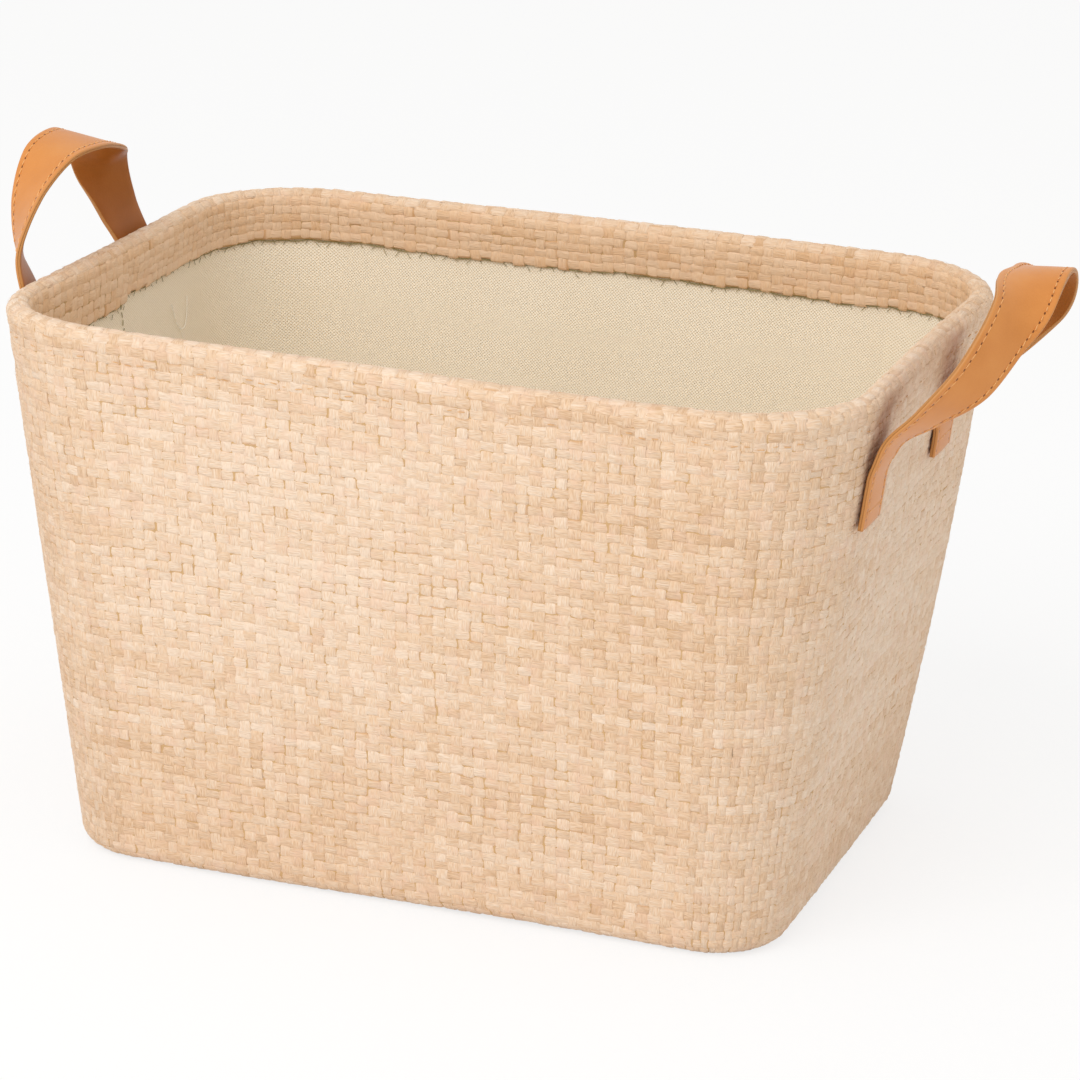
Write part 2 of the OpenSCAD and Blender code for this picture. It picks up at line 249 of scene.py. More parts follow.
grain, given, result = new_group(
    "fine_grain", [("Vector", VECTOR, None), ("Size", FLOAT, 900.0)], ["Value", "Height"])
where = {"Vector": given["Vector"], "Scale": given["Size"]}
pebbles = node(grain, "ShaderNodeTexVoronoi", where)
soft = node(grain, "ShaderNodeTexNoise", {**where, "Detail": 4})
both = maths("ADD", maths("MULTIPLY", pebbles.outputs["Distance"], 0.6), soft.outputs[0])
grain.links.new(soft.outputs[0], result["Value"])
grain.links.new(both, result["Height"])
print("groups:", mottle.name, streaks.name, grain.name)

# %% [markdown]
# ## Materials
# Yarn, lining, leather and thread are told apart by colour, sheen and grain. The yarn takes its tone from
# an attribute that the weave gives each float, so one yarn keeps its shade along its length. The leather
# reads its own UV map, in millimetres along and across the strap, for its painted edges and needle holes.
# The holes are painted dark as painted shade, and the inner layer is a darker copy of the leather, painted
# shade.

# %% Material helpers
def drifting(tree, size, amount):
    where = node(tree, "ShaderNodeTexCoord").outputs["Object"]
    inputs = {"Vector": where, "Size": size, "Amount": amount}
    return node(tree, "ShaderNodeGroup", inputs, node_tree=mottle).outputs[0]


def grained(tree, size):
    where = node(tree, "ShaderNodeTexCoord").outputs["Object"]
    return node(tree, "ShaderNodeGroup", {"Vector": where, "Size": size}, node_tree=grain).outputs


def uv_parts(tree, name):
    uv = node(tree, "ShaderNodeUVMap", uv_map=name).outputs[0]
    return uv, node(tree, "ShaderNodeSeparateXYZ", {0: uv}).outputs


def ramp(factor, stops):
    made = node(factor.id_data, "ShaderNodeValToRGB", {0: factor})
    bar = made.color_ramp.elements
    while len(bar) < len(stops):
        bar.new(0.5)
    for element, (place, code) in zip(bar, stops):
        element.position = place
        element.color = rgb(code)
    return made.outputs[0]


def towards(factor, colour, code):
    """A colour mixed towards a fixed one."""
    inputs = {0: factor, 6: colour, 7: rgb(code)}
    return node(factor.id_data, "ShaderNodeMix", inputs, data_type="RGBA").outputs[2]


def finish_shader(shader, colour, value, rough, height, relief):
    """Colour, a range of roughness from a value round a half, and a bump of some distance and strength."""
    tree = shader.id_data
    spread = node(tree, "ShaderNodeMapRange", {
        "Value": value, "From Min": 0.2, "From Max": 0.8, "To Min": rough[0], "To Max": rough[1]})
    bump = node(tree, "ShaderNodeBump", {"Height": height, "Distance": relief[0], "Strength": relief[1]})
    tree.links.new(colour, shader.inputs["Base Color"])
    tree.links.new(spread.outputs[0], shader.inputs["Roughness"])
    tree.links.new(bump.outputs[0], shader.inputs["Normal"])


def plain_material(name, dark, pale, constants, drift, size, rough, relief):
    """A mottle between two shades, and a fine grain."""
    material, tree, shader = new_material(name, constants)
    shade = ramp(maths("ADD", drifting(tree, *drift), 0.5), [(0.0, dark), (1.0, pale)])
    fine = grained(tree, size)
    finish_shader(shader, shade, fine["Value"], rough, fine["Height"], relief)
    return material


# %% Yarn
def yarn_material(name, stops, blush, fold_and_shade, hem_light):
    """Streaked tape, with a blush in drifts, a darker band on some edges that is partly a fold and partly
    painted shade, and a hem painted warmer and brighter as painted light.
    """
    material, tree, shader = new_material(
        name, {"Roughness": 0.62, "Specular IOR Level": 0.3, "Sheen Weight": 0.1})
    tone, accent, hem = (
        node(tree, "ShaderNodeAttribute", attribute_name=label).outputs["Fac"]
        for label in ("tone", "accent", "turned_in"))
    uv, across = uv_parts(tree, "yarn_uv")
    inputs = {"Along and across": uv, "Yarn": tone}
    streak = node(tree, "ShaderNodeGroup", inputs, node_tree=streaks).outputs
    spread = maths("MULTIPLY", maths("SUBTRACT", streak["Value"], 0.5), 2.0)
    colour = ramp(maths("ADD", tone, spread), stops)
    colour = towards(maths("MAXIMUM", drifting(tree, 120.0, 2.2), 0.0), colour, blush)
    # Mixed towards a warm pale colour on the turned-in hem: painted light on the hem.
    colour = towards(maths("MULTIPLY", hem, 0.4), colour, hem_light)
    # A darker band on one edge of some floats: partly a fold of the tape, partly painted shade beneath the
    # float.
    edge = maths("MULTIPLY", across[1], accent)
    mask = node(tree, "ShaderNodeMapRange", {"Value": edge, "From Min": 0.26, "From Max": 0.48})
    colour = towards(maths("MULTIPLY", mask.outputs[0], 0.7), colour, fold_and_shade)
    finish_shader(shader, colour, streak["Value"], (0.5, 0.75), streak["Height"], (0.0006, 1.0))
    return material


YARN_STOPS = [(0.0, "D8B18B"), (0.35, "E8C6A4"), (0.65, "EDD0B3"), (1.0, "F4DDC6")]
# The fold colour is partly painted shade beneath the floats; the warm hem colour is painted light.
yarn = yarn_material("paper_yarn", YARN_STOPS, blush="EDC8AD", fold_and_shade="D3A06C", hem_light="F5C592")
# The back of the cloth stands for the under-yarns; its darker colour is painted shade where it shows between
# the floats.
shaded_back = plain_material(
    "cloth_back", "C29A6C", "D6B286", {"Roughness": 0.9, "Specular IOR Level": 0.1},
    drift=(160.0, 0.5), size=1800.0, rough=(0.8, 0.98), relief=(0.0002, 0.6))
print("materials:", yarn.name, shaded_back.name)

# %% Coated lining
HATCH_PITCH = 1.5
lining_material, tree, shader = new_material(
    "coated_lining", {"Roughness": 0.55, "Specular IOR Level": 0.35})
_, (round_bin, down, _) = uv_parts(tree, "cloth_uv")
turn = 2 * math.pi / HATCH_PITCH / MM
rising, falling = (
    maths("SINE", maths("MULTIPLY", maths(way, round_bin, down), turn))
    for way in ("ADD", "SUBTRACT"))
hatch = maths("MAXIMUM", rising, falling)
pebble = grained(tree, 1500.0)
level = maths("ADD", maths("MULTIPLY", hatch, 0.6), drifting(tree, 25.0, 0.35))
colour = ramp(maths("ADD", level, 0.5), [(0.0, "E8D6B3"), (0.5, "F8E9CF"), (1.0, "FFF4E1")])
height = maths("ADD", hatch, maths("MULTIPLY", pebble["Height"], 0.4))
finish_shader(shader, colour, pebble["Value"], (0.45, 0.62), height, (0.00016, 0.9))
print("material:", lining_material.name)

# %% Leather
STITCH_PITCH = 4.2
STITCH_ROW = 10.0
HOLE_HALF = 0.34
STRAP_HALF = 13.0
PAINTED_EDGE = 0.35
# Painted shade: the dark colour of the needle holes.
HOLE_SHADE = "74401C"


def leather_material(name, stops, edge, holes):
    material, tree, shader = new_material(name, {"Roughness": 0.4, "Specular IOR Level": 0.22})
    _, (along, across, _) = uv_parts(tree, "strap_uv")
    across = maths("ABSOLUTE", across)
    pores = grained(tree, 1400.0)
    level = maths("ADD", drifting(tree, 45.0, 0.7), maths("MULTIPLY", pores["Value"], 0.25))
    colour = ramp(maths("ADD", level, 0.38), stops)
    painted = maths("GREATER_THAN", across, (STRAP_HALF - PAINTED_EDGE) * MM)
    colour = towards(painted, colour, edge)
    height = maths("MULTIPLY", pores["Height"], 0.3)
    if holes:
        beat = maths("PINGPONG", maths("DIVIDE", along, STITCH_PITCH * MM), 0.5)
        off_row = maths("ABSOLUTE", maths("SUBTRACT", across, STITCH_ROW * MM))
        near_row = maths("LESS_THAN", off_row, HOLE_HALF * MM)
        hole = maths("MULTIPLY", maths("LESS_THAN", beat, 0.12), near_row)
        # The needle holes are painted dark: painted shade in the holes.
        colour = towards(hole, colour, HOLE_SHADE)
        height = maths("SUBTRACT", height, maths("MULTIPLY", hole, 2.0))
    finish_shader(shader, colour, pores["Value"], (0.3, 0.48), height, (0.00012, 0.7))
    return material


LEATHER_STOPS = [(0.0, "BF7534"), (0.5, "D58B48"), (1.0, "E39F59")]
# The inner layer is the same leather, painted darker: painted shade on the face turned to the wall.
SHADED_BACKING_STOPS = [(0.0, "8A4E19"), (0.5, "A46024"), (1.0, "B77236")]
leather = leather_material("tan_leather", LEATHER_STOPS, edge="CB8D52", holes=True)
# A shaded copy of the leather, with a darker edge: painted shade.
backing = leather_material("strap_back", SHADED_BACKING_STOPS, edge="BC834A", holes=False)
print("materials:", leather.name, backing.name)


# %% Threads and hidden materials
def thread_material(name, dark, pale):
    return plain_material(
        name, dark, pale, {"Roughness": 0.6, "Specular IOR Level": 0.3, "Sheen Weight": 0.1},
        drift=(700.0, 1.0), size=2500.0, rough=(0.5, 0.75), relief=(0.0001, 0.6))


strap_thread = thread_material("strap_thread", "DA9650", "F3BE80")
olive_thread = thread_material("overlock_thread", "786C42", "A89A69")
tan_thread = thread_material("seam_thread", "D09C66", "E8BF8E")
foam = thread_material("padding_foam", "DEDBD2", "F6F4EE")
board_fibre = thread_material("board_fibre", "8F7048", "B8966A")
wire_material = plain_material(
    "drawn_wire", "8E8E90", "C4C4C6", {"Roughness": 0.35, "Metallic": 1.0},
    drift=(90.0, 0.5), size=1200.0, rough=(0.28, 0.45), relief=(0.00005, 0.5))
print("materials:", len(bpy.data.materials))

# %% [markdown]
# ## The shape of the cloth
# A place round the bin is counted in yarn columns, from the middle of the right side. The columns stay
# almost parallel on the flat sides and draw together at the corners towards the foot, as the real cloth
# does. A profile says how far in and how high the cloth runs: under the foot, up the wall, over the wire
# and down inside as the hem.

# %% Round the outline
SEGMENTS = [15, 17, 49, 17, 30, 17, 49, 17, 15]
COLUMN_COUNT = sum(SEGMENTS)
KNOTS = np.cumsum([0] + SEGMENTS)
SEAM_PLACE = KNOTS[4] + 15.0


def share_of_wall(z):
    return (np.clip(z, FOOT_RADIUS, ROLL_HEIGHT) - FOOT_RADIUS) / (ROLL_HEIGHT - FOOT_RADIUS)


def half_size(z):
    """Half the length and half the width of the bin at a height."""
    return FOOT_HALF + (RIM_HALF - FOOT_HALF) * share_of_wall(z)[..., None]


def outline(place, z, inset):
    """Points of the bin's outline: place in columns, height z, moved inwards by inset."""
    place = np.mod(place, COLUMN_COUNT)
    corner = FOOT_CORNER + (RIM_CORNER - FOOT_CORNER) * share_of_wall(z)
    x, y = half_size(z)[..., 0] - corner, half_size(z)[..., 1] - corner
    r = corner - inset
    k = np.clip(np.searchsorted(KNOTS, place, side="right") - 1, 0, 8)
    t = (place - KNOTS[k]) / np.array(SEGMENTS)[k]
    angle = np.radians(90 * ((k - 1) // 2 + t))
    corner_x = np.where((k == 1) | (k == 7), x, -x) + r * np.cos(angle)
    corner_y = np.where((k == 1) | (k == 3), y, -y) + r * np.sin(angle)
    sides = [k == 0, k == 2, k == 4, k == 6]
    flat_x = np.select(sides, [x + r, x * (1 - 2 * t), -x - r, x * (2 * t - 1)], x + r)
    flat_y = np.select(sides, [y * t, y + r, y * (1 - 2 * t), -y - r], -y * (1 - t))
    turning = k % 2 == 1
    return np.stack([np.where(turning, corner_x, flat_x), np.where(turning, corner_y, flat_y), z], -1)


print(COLUMN_COUNT, "columns round the bin, the seam at", SEAM_PLACE)


# %% Settling
# The bin is soft: its short walls dish inwards at the rim, its long walls belly out, the front of the rim
# hangs lower towards the right, and the foot lifts a little between its corners.
def hill(value, centre, width):
    return np.exp(-(((value - centre) / width) ** 2))


def rise(value, low, high):
    t = np.clip((value - low) / (high - low), 0, 1)
    return t * t * (3 - 2 * t)


def settle(points):
    x, y, z = points[..., 0], points[..., 1], points[..., 2]
    up = np.clip(z / HEIGHT, 0, 1)
    half = half_size(z)
    right, left = (rise(way * x / half[..., 0], 0.72, 0.98) for way in (1, -1))
    back, front = (rise(way * y / half[..., 1], 0.6, 0.98) for way in (1, -1))
    arch = np.sin(math.pi * up)
    belly = arch * hill(x, 0, 110)
    free = up ** 2 * (1 - 0.45 * rise(z, 220, 236))
    dx = -2.6 * right * hill(y, 10, 70) * free + 1.6 * left * hill(y, 0, 70) * free
    dx = dx + right * (2.2 * arch - 1.8 * (1 - up) ** 2) * hill(y, 100, 70)
    dy = (2.0 * back - 2.2 * front) * belly - 2.5 * front * hill(x, -90, 80) * (1 - up) ** 3
    dz = front * (1.0 * hill(x, -150, 45) - 1.5 * hill(x, 80, 80)) * up ** 3
    dz = dz + 1.3 * back * hill(x, 40, 130) * up ** 3
    near_side, near_front = (
        rise(np.abs(v), h - 17, h - 4) for v, h in ((x, half[..., 0]), (y, half[..., 1])))
    dz = dz + 0.6 * (hill(x, 60, 60) * near_front + hill(y, 0, 60) * near_side) * (1 - up) ** 8
    return points + np.stack([dx, dy, dz], -1)


def settled(place, z, inset):
    """Settled points of the outline; any of the three may be a single number."""
    return settle(outline(*np.broadcast_arrays(np.asarray(place, float), z, inset)))


def lowered(points, drop):
    return points - np.stack([0 * drop, 0 * drop, drop], -1)


print("the rim is at", settled(np.array([0.0, 0.0]), HEIGHT, ROLL_RADIUS)[0].round(1), "on the right")

# %% Profile of the cloth
MIDDLE = CLOTH / 2


def arc(inset, z, r, first, last, steps):
    a = np.radians(np.linspace(first, last, steps))
    return np.stack([inset - r * np.cos(a), z + r * np.sin(a)], -1)


def cloth_profile():
    """Inset and height of the middle of the cloth, from the base seam to the edge of the hem."""
    under = np.array([[SEAM_INSET, MIDDLE]])
    foot = arc(FOOT_RADIUS, FOOT_RADIUS, FOOT_RADIUS - MIDDLE, -90, 0, 9)
    z = np.linspace(FOOT_RADIUS, ROLL_HEIGHT, 240)[1:-1]
    wall = np.stack([MIDDLE + 0.65 * hill(z, HEIGHT - 12.5, 2.3) + 0.5 * hill(z, HEIGHT - 26.5, 2.5), z], -1)
    roll = arc(ROLL_RADIUS, ROLL_HEIGHT, ROLL_RADIUS - MIDDLE, 0, 190, 20)
    hem = np.array([
        [9.2, HEIGHT - 10.5], [8.3, HEIGHT - 14.5], [7.0, HEIGHT - 19], [HEM_INSET + 0.3, HEM_EDGE]])
    points = np.concatenate([under, foot, wall, roll, hem])
    length = np.concatenate([[0], np.cumsum(np.linalg.norm(np.diff(points, axis=0), axis=1))])
    return points, length


PROFILE, PROFILE_LENGTH = cloth_profile()
CLOTH_LENGTH = PROFILE_LENGTH[-1]
print("the cloth runs", round(CLOTH_LENGTH, 1), "mm from the base seam to the hem edge")


def hem_extra(place):
    """How much deeper the hem hangs at a place: it waves, and its last stretch before the seam is deeper."""
    wave = 0.35 * np.sin(place * 0.21) + 0.3 * np.sin(place * 0.53 + 1.0) + 0.3 * np.sin(place * 1.1)
    deep = (np.mod(place, COLUMN_COUNT) > SEAM_PLACE) & (np.mod(place, COLUMN_COUNT) < SEAM_PLACE + 34)
    return wave + 4.0 * deep


BEFORE = PROFILE[0] + 4 * (PROFILE[0] - PROFILE[1]) / PROFILE_LENGTH[1]
AFTER = PROFILE[-1] + 4 * (PROFILE[-1] - PROFILE[-2]) / (PROFILE_LENGTH[-1] - PROFILE_LENGTH[-2])
LONG_PROFILE = np.concatenate([[BEFORE], PROFILE, [AFTER]])
LONG_LENGTH = np.concatenate([[-4.0], PROFILE_LENGTH, [CLOTH_LENGTH + 4.0]])


def cloth_at(place, run, hem_place=None):
    """Point of the cloth at a place round the bin and a distance run along its profile."""
    inset, z = (np.interp(run, LONG_LENGTH, LONG_PROFILE[:, i]) for i in (0, 1))
    hanging = rise(run, CLOTH_LENGTH - 20, CLOTH_LENGTH)
    deeper = hem_extra(place if hem_place is None else hem_place)
    return lowered(settle(outline(place, z, inset)), hanging * deeper)


# %% [markdown]
# ## Laying small pieces
# Floats of yarn, stitches and ticks are all the same job: a small unit is laid at many points, each with
# its own direction, face and size. One Geometry Nodes tree does it. The points carry the vectors as
# attributes, the tree turns and scales an instance at each, adds a little seeded wobble, and realises them.

# %% The laying tree
def new_tree(name, **inputs):
    """A Geometry Nodes tree with a geometry in and out, a material, and the inputs asked for."""
    tree = bpy.data.node_groups.new(name, "GeometryNodeTree")
    tree.interface.new_socket("Geometry", in_out="OUTPUT", socket_type="NodeSocketGeometry")
    for label, kind in {"Geometry": "Geometry", **inputs, "Material": "Material"}.items():
        tree.interface.new_socket(label, in_out="INPUT", socket_type="NodeSocket" + kind)
    return tree, node(tree, "NodeGroupInput").outputs


def smooth_and_paint(tree, geometry, material):
    smooth = node(tree, "GeometryNodeSetShadeSmooth", {0: geometry})
    paint = node(tree, "GeometryNodeSetMaterial", {0: smooth.outputs[0], "Material": material})
    node(tree, "NodeGroupOutput", {0: paint.outputs[0]})


LAY, given = new_tree("lay_pieces", Units="Collection", Wobble="Float", Seed="Int")
run, face, size = (
    node(LAY, "GeometryNodeInputNamedAttribute", {"Name": label}, data_type="FLOAT_VECTOR").outputs[0]
    for label in ("run", "face", "size"))
axes = node(LAY, "FunctionNodeAxesToRotation", {0: face, 1: run}, primary_axis="Z", secondary_axis="X")
units = node(LAY, "GeometryNodeCollectionInfo", {
    "Collection": given["Units"], "Separate Children": True, "Reset Children": True})
which = node(LAY, "FunctionNodeRandomValue", {4: 0, 5: 5, "Seed": given["Seed"]}, data_type="INT")
low, high = (
    node(LAY, "ShaderNodeVectorMath", {0: (way, way, way), "Scale": given["Wobble"]}, operation="SCALE")
    for way in (-1, 1))
chance = node(
    LAY, "FunctionNodeRandomValue", {0: low.outputs[0], 1: high.outputs[0], "Seed": given["Seed"]},
    data_type="FLOAT_VECTOR")
turn = node(LAY, "FunctionNodeEulerToRotation", {0: chance.outputs[0]})
rotate = node(
    LAY, "FunctionNodeRotateRotation", {0: axes.outputs[0], 1: turn.outputs[0]}, rotation_space="LOCAL")
lay = node(LAY, "GeometryNodeInstanceOnPoints", {
    "Points": given["Geometry"], "Instance": units.outputs[0], "Pick Instance": True,
    "Instance Index": which.outputs[2], "Rotation": rotate.outputs[0], "Scale": size})
real = node(LAY, "GeometryNodeRealizeInstances", {0: lay.outputs[0]})
smooth_and_paint(LAY, real.outputs[0], given["Material"])
print("tree:", LAY.name, len(LAY.nodes), "nodes")


# %% Making pieces real
def count_triangles(obj):
    print(obj.name, sum(len(p.vertices) - 2 for p in obj.data.polygons), "triangles")
    return obj


def grown(mesh, tree, **values):
    """An object whose plain mesh is what the tree makes of it."""
    obj = new_object(mesh.name, mesh)
    modifier = obj.modifiers.new(tree.name, "NODES")
    modifier.node_group = tree
    for item in tree.interface.items_tree:
        if item.in_out == "INPUT" and item.name in values:
            modifier[item.identifier] = values[item.name]
    depsgraph = bpy.context.evaluated_depsgraph_get()
    depsgraph.update()
    result = bpy.data.meshes.new_from_object(
        obj.evaluated_get(depsgraph), preserve_all_data_layers=True, depsgraph=depsgraph)
    obj.modifiers.clear()
    obj.data = result
    result.name = obj.name
    return count_triangles(obj)


def lay_pieces(name, units, points, run, face, size, material, wobble=0.0, seed=1, **marks):
    """Lays one of the units at each point, in millimetres; marks are attributes, one value a point."""
    mesh = bpy.data.meshes.new(name)
    mesh.from_pydata((points * MM).tolist(), [], [])
    for label, values in (("run", run), ("face", face), ("size", size)):
        vectors = np.ascontiguousarray(np.broadcast_to(values, points.shape), np.float32).ravel()
        mesh.attributes.new(label, "FLOAT_VECTOR", "POINT").data.foreach_set("vector", vectors)
    for label, values in marks.items():
        numbers = np.asarray(values, np.float32)
        mesh.attributes.new(label, "FLOAT", "POINT").data.foreach_set("value", numbers)
    return grown(mesh, LAY, Units=units, Wobble=wobble, Seed=seed, Material=material)


# %% [markdown]
# ## The unit of the weave
# Where a yarn passes over another it shows as a float: a flat, slightly crowned piece of paper tape whose
# ends dive under the neighbours. In a plain weave each crossing shows one float, so one small closed unit
# is enough. It is one pitch long and wide and is stretched to each crossing.

# %% A float of tape
def unit_collection(name, shapes, faces, uv_name=None):
    """A hidden collection of unit meshes; a float's UV is its place along and across."""
    units = bpy.data.collections.new(name)
    for number, points in enumerate(shapes):
        mesh = bpy.data.meshes.new(name + "_" + str(number))
        mesh.from_pydata([tuple(p) for p in points], [], faces)
        if uv_name:
            layer = mesh.uv_layers.new(name=uv_name)
            for loop in mesh.loops:
                layer.data[loop.index].uv = points[loop.vertex_index][:2]
        units.objects.link(bpy.data.objects.new(mesh.name, mesh))
    return units


def tube_faces(stations, sides):
    """Faces of a closed tube of rings, with a face over each end."""
    around = [(i, (i + 1) % sides) for i in range(sides)]
    rings = [k * sides for k in range(stations)]
    faces = [(a + i, a + j, b + j, b + i) for a, b in zip(rings, rings[1:]) for i, j in around]
    faces.append(tuple(range(sides))[::-1])
    faces.append(tuple((stations - 1) * sides + i for i in range(sides)))
    return faces


ARCH = 0.3
FLOAT_STATIONS = [(-0.66, -1.1), (-0.38, 0.8), (0.38, 0.8), (0.66, -1.1)]
FLOAT_SECTIONS = [
    [(0.62, -0.42), (0.47, 0.0), (0.17, 0.2), (-0.22, 0.17), (-0.5, -0.02), (-0.62, -0.42)],
    [(0.62, -0.42), (0.5, -0.03), (0.24, 0.15), (-0.14, 0.21), (-0.46, 0.02), (-0.62, -0.42)],
    [(0.62, -0.42), (0.44, 0.05), (0.1, 0.14), (-0.16, 0.18), (-0.48, -0.03), (-0.62, -0.42)],
]


def float_shape(section):
    return [(x, y, (ARCH * lift + z) * MM) for x, lift in FLOAT_STATIONS for y, z in section]


tape_floats = unit_collection(
    "tape_floats", [float_shape(section) for section in FLOAT_SECTIONS], tube_faces(4, 6), "yarn_uv")
print(len(FLOAT_SECTIONS), "shapes of float")

# %% [markdown]
# ## Weaving the wall
# The crossings make a lattice round the bin and along the profile. At each one the warp or the weft is on
# top, in turn. Smooth noise makes the yarns wander and swell, and a tone for each yarn, with a drift along
# it, gives the streaky natural colour. The wall is woven as four panels, so that no mesh grows too large.

# %% The lattice
ROW_PITCH = 4.25
WEFT_LENGTH = 1.08
WEFT_WIDTH = 0.93
WARP_LENGTH = 1.08
WARP_WIDTH = 0.92
CREST_RUN = CLOTH_LENGTH - 26
ROLL_LIFT = 0.22
ROWS = round(CLOTH_LENGTH / ROW_PITCH)
COLUMN_WIDTH = 5.6
WEAVE_LIFT = 0.4
dice = np.random.RandomState(7)


def wander(across, along, count=9, reach=0.35):
    """Smooth noise of about unit height over two coordinates, which closes on itself round the bin."""
    total = np.zeros(np.broadcast(across, along).shape)
    once = 2 * math.pi / COLUMN_COUNT
    for _ in range(count):
        a, b, phase = dice.uniform(-reach, reach), dice.uniform(-reach, reach), dice.uniform(0, 2 * math.pi)
        a = round(a / once) * once
        total = total + np.sin(a * across + b * along + phase)
    return total / math.sqrt(count / 2)


def jitter(like, amount):
    """Chance shifts, one for each value of an array."""
    return amount * dice.normal(size=like.shape)


def unit_vectors(v):
    return v / np.linalg.norm(v, axis=-1, keepdims=True)


def yarn_marks(columns, rows, weft):
    """Tone and accent of each float, from the shade of its yarn, a drift along it and chance."""
    weft_tone = dice.normal(0, 0.1, ROWS + 200)
    warp_tone = dice.normal(0, 0.08, COLUMN_COUNT + 200)
    drift = 0.12 * wander(columns, rows, reach=0.12) + 0.06 * wander(columns, rows * 3, reach=0.5)
    tone = np.where(weft, weft_tone[rows % len(weft_tone)], warp_tone[columns % len(warp_tone)])
    tone = np.clip(0.5 + tone + drift + dice.normal(0, 0.1, columns.shape), 0, 1)
    # Some floats get a darker band on one edge: partly a fold of the tape, partly painted shade beneath the
    # float.
    marked = dice.uniform(size=columns.shape) < np.where(weft, 0.24, 0.1)
    accent = np.where(marked, dice.uniform(-1.0, 1.0, columns.shape), 0.0)
    return tone, accent


def weave_lattice():
    """Place, run, direction and size of every crossing, laid out flat in columns and millimetres."""
    columns, rows = np.meshgrid(np.arange(COLUMN_COUNT), np.arange(ROWS), indexing="ij")
    pitch = CLOTH_LENGTH / ROWS
    place = columns + 0.5 + 0.14 * wander(columns, rows) + jitter(columns, 0.04)
    run = (rows + 0.5 + 0.16 * wander(columns, rows) + jitter(rows, 0.03)) * pitch
    weft = (columns + rows) % 2 == 0
    length = np.where(weft, COLUMN_WIDTH * WEFT_LENGTH, pitch * WARP_LENGTH)
    width = np.where(weft, pitch * WEFT_WIDTH, COLUMN_WIDTH * WARP_WIDTH)
    # On the roll the floats change size, and further down their tone is painted darker: painted shade on the
    # rolled rim.
    on_roll = hill(run, CREST_RUN, 8)
    length = length * (1 + jitter(length, 0.05)) * (1 + np.where(weft, 0.04, -0.1) * on_roll)
    width = width * (1 + jitter(width, 0.08)) * (1 + 0.08 * on_roll)
    size = np.stack([length * MM, width * MM, 1 + jitter(width, 0.1)], -1)
    flat = np.stack([place * COLUMN_WIDTH, run, 0 * run], -1)
    direction = np.where(weft[..., None], [1.0, 0, 0], [0, 1.0, 0])
    face = np.broadcast_to([0, 0, 1.0], flat.shape)
    tone, accent = yarn_marks(columns, rows, weft)
    turned_in = rise(run, CREST_RUN, CREST_RUN + 6)
    # The hem's floats are painted brighter and with more contrast: painted light on the turned-in hem.
    tone = tone + 0.25 * turned_in + 0.8 * turned_in * (tone - 0.5) - 0.16 * on_roll
    return flat, direction, face, size, tone, accent * (1 + 0.5 * turned_in), turned_in


def wrap_on(panel, centres):
    """Moves the flat weave onto the bin; its thickness goes along the normal of the cloth."""
    count = len(panel.data.vertices)
    flat = np.empty(count * 3, np.float32)
    panel.data.vertices.foreach_get("co", flat)
    x, run, height = (flat.reshape(-1, 3) / MM).T
    place = x / COLUMN_WIDTH
    own = np.repeat(centres[:, 0] / COLUMN_WIDTH, count // len(centres))
    ahead = cloth_at(place + 0.1, run, own) - cloth_at(place - 0.1, run, own)
    upwards = cloth_at(place, run + 0.3, own) - cloth_at(place, run - 0.3, own)
    face = unit_vectors(np.cross(ahead, upwards))
    lift = height + WEAVE_LIFT + ROLL_LIFT * hill(run, CREST_RUN, 6)
    points = cloth_at(place, run, own) + lift[:, None] * face
    panel.data.vertices.foreach_set("co", np.ascontiguousarray(points * MM, np.float32).ravel())
    panel.data.update()


LATTICE = weave_lattice()
print("lattice of", COLUMN_COUNT, "columns and", ROWS, "rows")

# %% The four panels
PANELS = {"right": (203, 249), "back": (23, 90), "left": (90, 136), "front": (136, 203)}
wall_panels = []
for number, (side, (first, last)) in enumerate(PANELS.items()):
    pick = np.arange(first, last) % COLUMN_COUNT
    point, direction, face, size, tone, accent, turned_in = (
        values[pick].reshape(-1, *values.shape[2:]) for values in LATTICE)
    panel_cloth = lay_pieces(
        "wall_cloth_" + side, tape_floats, point, direction, face, size, yarn,
        wobble=0.06, seed=number + 1, tone=tone, accent=accent, turned_in=turned_in)
    wrap_on(panel_cloth, point)
    wall_panels.append(panel_cloth)

# %% [markdown]
# ## The cloth of the base
# The underside is a flat panel of the same cloth, cut to a rounded rectangle. Its lattice is a plain grid,
# and the crossings outside the outline are left out.

# %% Weaving the base
BASE_COLUMN = 5.3
BASE_MARGIN = 2.5
BASE_SPARE = 2.0


def base_lattice():
    reach = FOOT_HALF - SEAM_INSET - BASE_MARGIN
    corner = FOOT_CORNER - SEAM_INSET - BASE_MARGIN
    x, y = (
        np.arange(-half, half + 0.1, 2 * half / round(2 * half / pitch))
        for half, pitch in zip(reach, (BASE_COLUMN, ROW_PITCH)))
    columns, rows = np.meshgrid(np.arange(len(x)), np.arange(len(y)), indexing="ij")
    over = np.maximum(np.abs(np.stack([x[columns], y[rows]], -1)) - (reach - corner), 0)
    inside = np.linalg.norm(over, axis=-1) <= corner + BASE_SPARE
    columns, rows = columns[inside], rows[inside]
    weft = (columns + rows) % 2 == 0
    point = settle(np.stack([x[columns], y[rows], np.full(weft.shape, MIDDLE)], -1))
    direction = np.where(weft[:, None], [1.0, 0, 0], [0, 1.0, 0])
    wide, deep = x[1] - x[0], y[1] - y[0]
    length, width = np.where(weft, wide, deep), np.where(weft, deep, wide)
    size = np.stack([length * MM, width * MM, np.ones(weft.shape)], -1)
    return point, direction, size, *yarn_marks(columns, rows, weft)


point, direction, size, tone, accent = base_lattice()
base_weave = lay_pieces(
    "base_cloth_weave", tape_floats, point, direction, [0, 0, -1.0], size, yarn,
    wobble=0.03, seed=9, tone=tone, accent=accent)

